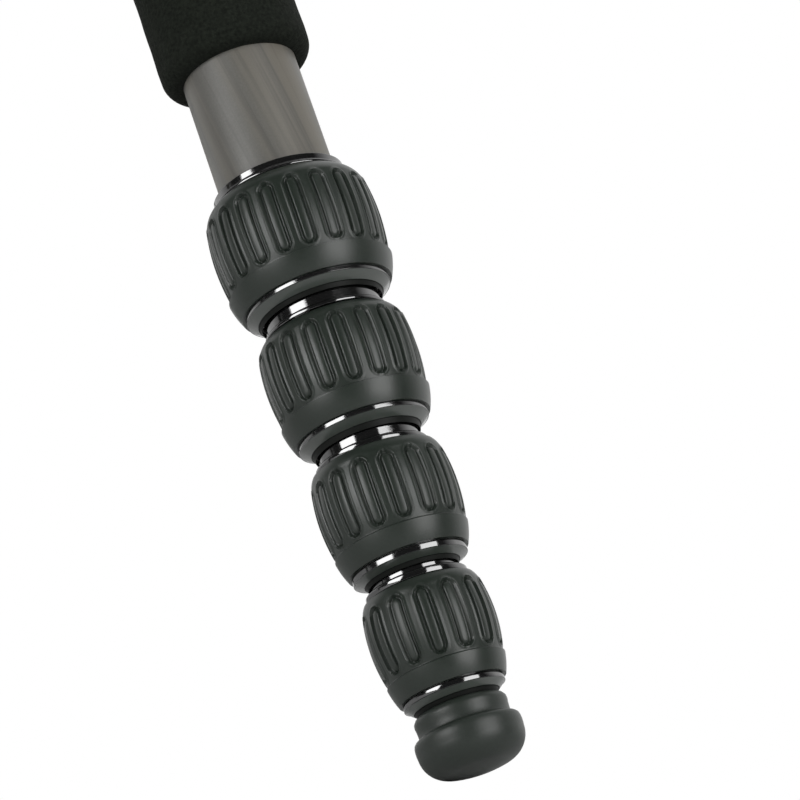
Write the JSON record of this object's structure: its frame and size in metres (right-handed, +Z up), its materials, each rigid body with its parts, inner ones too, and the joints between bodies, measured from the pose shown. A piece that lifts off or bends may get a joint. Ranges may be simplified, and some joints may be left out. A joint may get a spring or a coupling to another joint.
{
  "type": "tripod with ball head",
  "caption": "Travel tripod with telescoping twist-lock legs, foam grips, rubber feet, a centre column and a ball head with a quick-release clamp and plate.",
  "frame": {"origin": "on the ground under the axis of the centre column, with the legs pushed in and spread at their first stop", "axes": "+Z up along the column; +X towards the portrait notch of the head and opposite its main knob; leg b stands towards +Y and leg a towards +X and -Y"},
  "size_m": [0.3252, 0.2846, 0.5057],
  "materials": {
    "carbon_tube": "satin carbon-fibre weave with fine slanted streaks, warm grey",
    "lock_rubber": "matte moulded rubber sleeve on a glossy black nut",
    "foot_rubber": "smooth moulded rubber with a soft sheen",
    "foam": "closed-cell foam with a fine dull grain",
    "black_casting": "black anodised, fine satin",
    "black_polymer": "fine matte",
    "knob_rubber": "matte fluted rubber",
    "bearing_polymer": "smooth low-friction polymer",
    "ball_alloy": "hard anodised, smooth satin",
    "steel": "turned and polished",
    "level_vial": "clear vial with yellow-green spirit"
  },
  "bodies": {
    "frame": {"apex": "black_casting", "hinge_bolts": "steel"},
    "leg_a_upper": {"leg_a_hinge_lug": "black_casting", "leg_a_foam_grip": "foam", "leg_a_tube_1": "carbon_tube"},
    "leg_a_latch": {"leg_a_angle_latch": "black_polymer"},
    "leg_a_twist_1": {"leg_a_lock_1": "lock_rubber"},
    "leg_a_twist_2": {"leg_a_lock_2": "lock_rubber"},
    "leg_a_twist_3": {"leg_a_lock_3": "lock_rubber"},
    "leg_a_twist_4": {"leg_a_lock_4": "lock_rubber"},
    "leg_a_section_2": {"leg_a_tube_2": "carbon_tube"},
    "leg_a_section_3": {"leg_a_tube_3": "carbon_tube"},
    "leg_a_section_4": {"leg_a_tube_4": "carbon_tube"},
    "leg_a_section_5": {"leg_a_tube_5": "carbon_tube", "leg_a_rubber_foot": "foot_rubber"},
    "leg_b_upper": {"leg_b_hinge_lug": "black_casting", "leg_b_foam_grip": "foam", "leg_b_tube_1": "carbon_tube"},
    "leg_b_latch": {"leg_b_angle_latch": "black_polymer"},
    "leg_b_twist_1": {"leg_b_lock_1": "lock_rubber"},
    "leg_b_twist_2": {"leg_b_lock_2": "lock_rubber"},
    "leg_b_twist_3": {"leg_b_lock_3": "lock_rubber"},
    "leg_b_twist_4": {"leg_b_lock_4": "lock_rubber"},
    "leg_b_section_2": {"leg_b_tube_2": "carbon_tube"},
    "leg_b_section_3": {"leg_b_tube_3": "carbon_tube"},
    "leg_b_section_4": {"leg_b_tube_4": "carbon_tube"},
    "leg_b_section_5": {"leg_b_tube_5": "carbon_tube", "leg_b_rubber_foot": "foot_rubber"},
    "leg_c_upper": {"leg_c_hinge_lug": "black_casting", "leg_c_foam_grip": "foam", "leg_c_tube_1": "carbon_tube"},
    "leg_c_latch": {"leg_c_angle_latch": "black_polymer"},
    "leg_c_twist_1": {"leg_c_lock_1": "lock_rubber"},
    "leg_c_twist_2": {"leg_c_lock_2": "lock_rubber"},
    "leg_c_twist_3": {"leg_c_lock_3": "lock_rubber"},
    "leg_c_twist_4": {"leg_c_lock_4": "lock_rubber"},
    "leg_c_section_2": {"leg_c_tube_2": "carbon_tube"},
    "leg_c_section_3": {"leg_c_tube_3": "carbon_tube"},
    "leg_c_section_4": {"leg_c_tube_4": "carbon_tube"},
    "leg_c_section_5": {"leg_c_tube_5": "carbon_tube", "leg_c_rubber_foot": "foot_rubber"},
    "column": {"column_tube": "carbon_tube", "column_hook": "steel", "column_top_plate": "black_casting", "head_base": "black_casting"},
    "column_collar": {"column_lock": "knob_rubber"},
    "head_housing": {"head_body": "black_casting", "ball_seat": "bearing_polymer"},
    "lock_knob": {"main_knob": "knob_rubber"},
    "dial": {"friction_dial": "black_casting"},
    "pan_lock_knob": {"pan_knob": "knob_rubber"},
    "ball": {"head_ball": "ball_alloy"},
    "stem": {"head_stem": "black_casting", "clamp_body": "black_casting", "bubble_level": "level_vial"},
    "jaw": {"clamp_jaw": "black_casting"},
    "jaw_knob": {"clamp_knob": "knob_rubber"},
    "plate": {"quick_release_plate": "black_casting", "plate_pads": "foot_rubber"},
    "camera_bolt": {"camera_screw": "steel"}
  },
  "joints": [
    {"name": "leg_a_splay", "type": "hinge", "parent": "frame", "child": "leg_a_upper", "pos_m": [0.02685, -0.0155, 0.37424], "axis": [-0.5, -0.866, 0], "range_deg": [-21.5, 58.5]},
    {"name": "leg_b_splay", "type": "hinge", "parent": "frame", "child": "leg_b_upper", "pos_m": [0, 0.031, 0.37424], "axis": [1, 0, 0], "range_deg": [-21.5, 58.5]},
    {"name": "leg_c_splay", "type": "hinge", "parent": "frame", "child": "leg_c_upper", "pos_m": [-0.02685, -0.0155, 0.37424], "axis": [-0.5, 0.866, 0], "range_deg": [-21.5, 58.5]},
    {"name": "column_lift", "type": "slide", "parent": "frame", "child": "column", "axis": [0, 0, 1], "range_m": [0, 0.18]},
    {"name": "head_pan", "type": "hinge", "parent": "column", "child": "head_housing", "pos_m": [0, 0, 0.43014], "axis": [0, 0, 1], "range_deg": [-180, 180]},
    {"name": "ball_tilt", "type": "hinge", "parent": "head_housing", "child": "ball", "pos_m": [0, 0, 0.45514], "axis": [0, 1, 0], "range_deg": [-27, 90]},
    {"name": "stem_turn", "type": "hinge", "parent": "ball", "child": "stem", "pos_m": [0, 0, 0.46864], "axis": [0, 0, 1], "range_deg": [-180, 180]},
    {"name": "plate_slide", "type": "slide", "parent": "stem", "child": "plate", "axis": [1, 0, 0], "range_m": [-0.012, 0.012]},
    {"name": "clamp_knob_turn", "type": "hinge", "parent": "jaw", "child": "jaw_knob", "pos_m": [0, 0.0256, 0.48714], "axis": [0, 1, 0], "range_deg": [-40, 1120]},
    {"name": "clamp_jaw_slide", "type": "slide", "parent": "stem", "child": "jaw", "axis": [0, 1, 0], "range_m": [0, 0.003]},
    {"name": "main_knob_turn", "type": "hinge", "parent": "head_housing", "child": "lock_knob", "pos_m": [-0.0236, 0, 0.45514], "axis": [-1, 0, 0], "range_deg": [0, 270]},
    {"name": "friction_dial_turn", "type": "hinge", "parent": "lock_knob", "child": "dial", "pos_m": [-0.0336, 0, 0.45514], "axis": [-1, 0, 0], "range_deg": [0, 180]},
    {"name": "pan_knob_turn", "type": "hinge", "parent": "head_housing", "child": "pan_lock_knob", "pos_m": [-0.00559, 0.02086, 0.43414], "axis": [-0.2588, 0.9659, 0], "range_deg": [0, 360]},
    {"name": "column_lock_turn", "type": "hinge", "parent": "frame", "child": "column_collar", "pos_m": [0, 0, 0.40224], "axis": [0, 0, 1], "range_deg": [0, 120]},
    {"name": "camera_screw_turn", "type": "hinge", "parent": "plate", "child": "camera_bolt", "pos_m": [0, 0, 0.49944], "axis": [0, 0, 1], "continuous": true},
    {"name": "leg_a_section_2_slide", "type": "slide", "parent": "leg_a_upper", "child": "leg_a_section_2", "axis": [0.3174, -0.1833, -0.9304], "range_m": [0, 0.215]},
    {"name": "leg_a_section_3_slide", "type": "slide", "parent": "leg_a_section_2", "child": "leg_a_section_3", "axis": [0.3174, -0.1833, -0.9304], "range_m": [0, 0.215]},
    {"name": "leg_a_section_4_slide", "type": "slide", "parent": "leg_a_section_3", "child": "leg_a_section_4", "axis": [0.3174, -0.1833, -0.9304], "range_m": [0, 0.215]},
    {"name": "leg_a_section_5_slide", "type": "slide", "parent": "leg_a_section_4", "child": "leg_a_section_5", "axis": [0.3174, -0.1833, -0.9304], "range_m": [0, 0.215]},
    {"name": "leg_a_lock_1_turn", "type": "hinge", "parent": "leg_a_upper", "child": "leg_a_twist_1", "pos_m": [0.11759, -0.06789, 0.10823], "axis": [0.3174, -0.1833, -0.9304], "range_deg": [0, 90]},
    {"name": "leg_a_lock_2_turn", "type": "hinge", "parent": "leg_a_section_2", "child": "leg_a_twist_2", "pos_m": [0.12718, -0.07343, 0.08013], "axis": [0.3174, -0.1833, -0.9304], "range_deg": [0, 90]},
    {"name": "leg_a_lock_3_turn", "type": "hinge", "parent": "leg_a_section_3", "child": "leg_a_twist_3", "pos_m": [0.13654, -0.07883, 0.05269], "axis": [0.3174, -0.1833, -0.9304], "range_deg": [0, 90]},
    {"name": "leg_a_lock_4_turn", "type": "hinge", "parent": "leg_a_section_4", "child": "leg_a_twist_4", "pos_m": [0.1453, -0.08389, 0.02701], "axis": [0.3174, -0.1833, -0.9304], "range_deg": [0, 90]},
    {"name": "leg_a_latch_slide", "type": "slide", "parent": "leg_a_upper", "child": "leg_a_latch", "axis": [-0.3174, 0.1833, 0.9304], "range_m": [0, 0.0026]},
    {"name": "leg_b_section_2_slide", "type": "slide", "parent": "leg_b_upper", "child": "leg_b_section_2", "axis": [0, 0.3665, -0.9304], "range_m": [0, 0.215]},
    {"name": "leg_b_section_3_slide", "type": "slide", "parent": "leg_b_section_2", "child": "leg_b_section_3", "axis": [0, 0.3665, -0.9304], "range_m": [0, 0.215]},
    {"name": "leg_b_section_4_slide", "type": "slide", "parent": "leg_b_section_3", "child": "leg_b_section_4", "axis": [0, 0.3665, -0.9304], "range_m": [0, 0.215]},
    {"name": "leg_b_section_5_slide", "type": "slide", "parent": "leg_b_section_4", "child": "leg_b_section_5", "axis": [0, 0.3665, -0.9304], "range_m": [0, 0.215]},
    {"name": "leg_b_lock_1_turn", "type": "hinge", "parent": "leg_b_upper", "child": "leg_b_twist_1", "pos_m": [0, 0.13578, 0.10823], "axis": [0, 0.3665, -0.9304], "range_deg": [0, 90]},
    {"name": "leg_b_lock_2_turn", "type": "hinge", "parent": "leg_b_section_2", "child": "leg_b_twist_2", "pos_m": [0, 0.14685, 0.08013], "axis": [0, 0.3665, -0.9304], "range_deg": [0, 90]},
    {"name": "leg_b_lock_3_turn", "type": "hinge", "parent": "leg_b_section_3", "child": "leg_b_twist_3", "pos_m": [0, 0.15766, 0.05269], "axis": [0, 0.3665, -0.9304], "range_deg": [0, 90]},
    {"name": "leg_b_lock_4_turn", "type": "hinge", "parent": "leg_b_section_4", "child": "leg_b_twist_4", "pos_m": [0, 0.16778, 0.02701], "axis": [0, 0.3665, -0.9304], "range_deg": [0, 90]},
    {"name": "leg_b_latch_slide", "type": "slide", "parent": "leg_b_upper", "child": "leg_b_latch", "axis": [0, -0.3665, 0.9304], "range_m": [0, 0.0026]},
    {"name": "leg_c_section_2_slide", "type": "slide", "parent": "leg_c_upper", "child": "leg_c_section_2", "axis": [-0.3174, -0.1833, -0.9304], "range_m": [0, 0.215]},
    {"name": "leg_c_section_3_slide", "type": "slide", "parent": "leg_c_section_2", "child": "leg_c_section_3", "axis": [-0.3174, -0.1833, -0.9304], "range_m": [0, 0.215]},
    {"name": "leg_c_section_4_slide", "type": "slide", "parent": "leg_c_section_3", "child": "leg_c_section_4", "axis": [-0.3174, -0.1833, -0.9304], "range_m": [0, 0.215]},
    {"name": "leg_c_section_5_slide", "type": "slide", "parent": "leg_c_section_4", "child": "leg_c_section_5", "axis": [-0.3174, -0.1833, -0.9304], "range_m": [0, 0.215]},
    {"name": "leg_c_lock_1_turn", "type": "hinge", "parent": "leg_c_upper", "child": "leg_c_twist_1", "pos_m": [-0.11759, -0.06789, 0.10823], "axis": [-0.3174, -0.1833, -0.9304], "range_deg": [0, 90]},
    {"name": "leg_c_lock_2_turn", "type": "hinge", "parent": "leg_c_section_2", "child": "leg_c_twist_2", "pos_m": [-0.12718, -0.07343, 0.08013], "axis": [-0.3174, -0.1833, -0.9304], "range_deg": [0, 90]},
    {"name": "leg_c_lock_3_turn", "type": "hinge", "parent": "leg_c_section_3", "child": "leg_c_twist_3", "pos_m": [-0.13654, -0.07883, 0.05269], "axis": [-0.3174, -0.1833, -0.9304], "range_deg": [0, 90]},
    {"name": "leg_c_lock_4_turn", "type": "hinge", "parent": "leg_c_section_4", "child": "leg_c_twist_4", "pos_m": [-0.1453, -0.08389, 0.02701], "axis": [-0.3174, -0.1833, -0.9304], "range_deg": [0, 90]},
    {"name": "leg_c_latch_slide", "type": "slide", "parent": "leg_c_upper", "child": "leg_c_latch", "axis": [0.3174, 0.1833, 0.9304], "range_m": [0, 0.0026]}
  ],
  "couplings": [
    {"joint": "clamp_knob_turn", "follows": "clamp_jaw_slide", "rad_per_m": 6283.2}
  ]
}
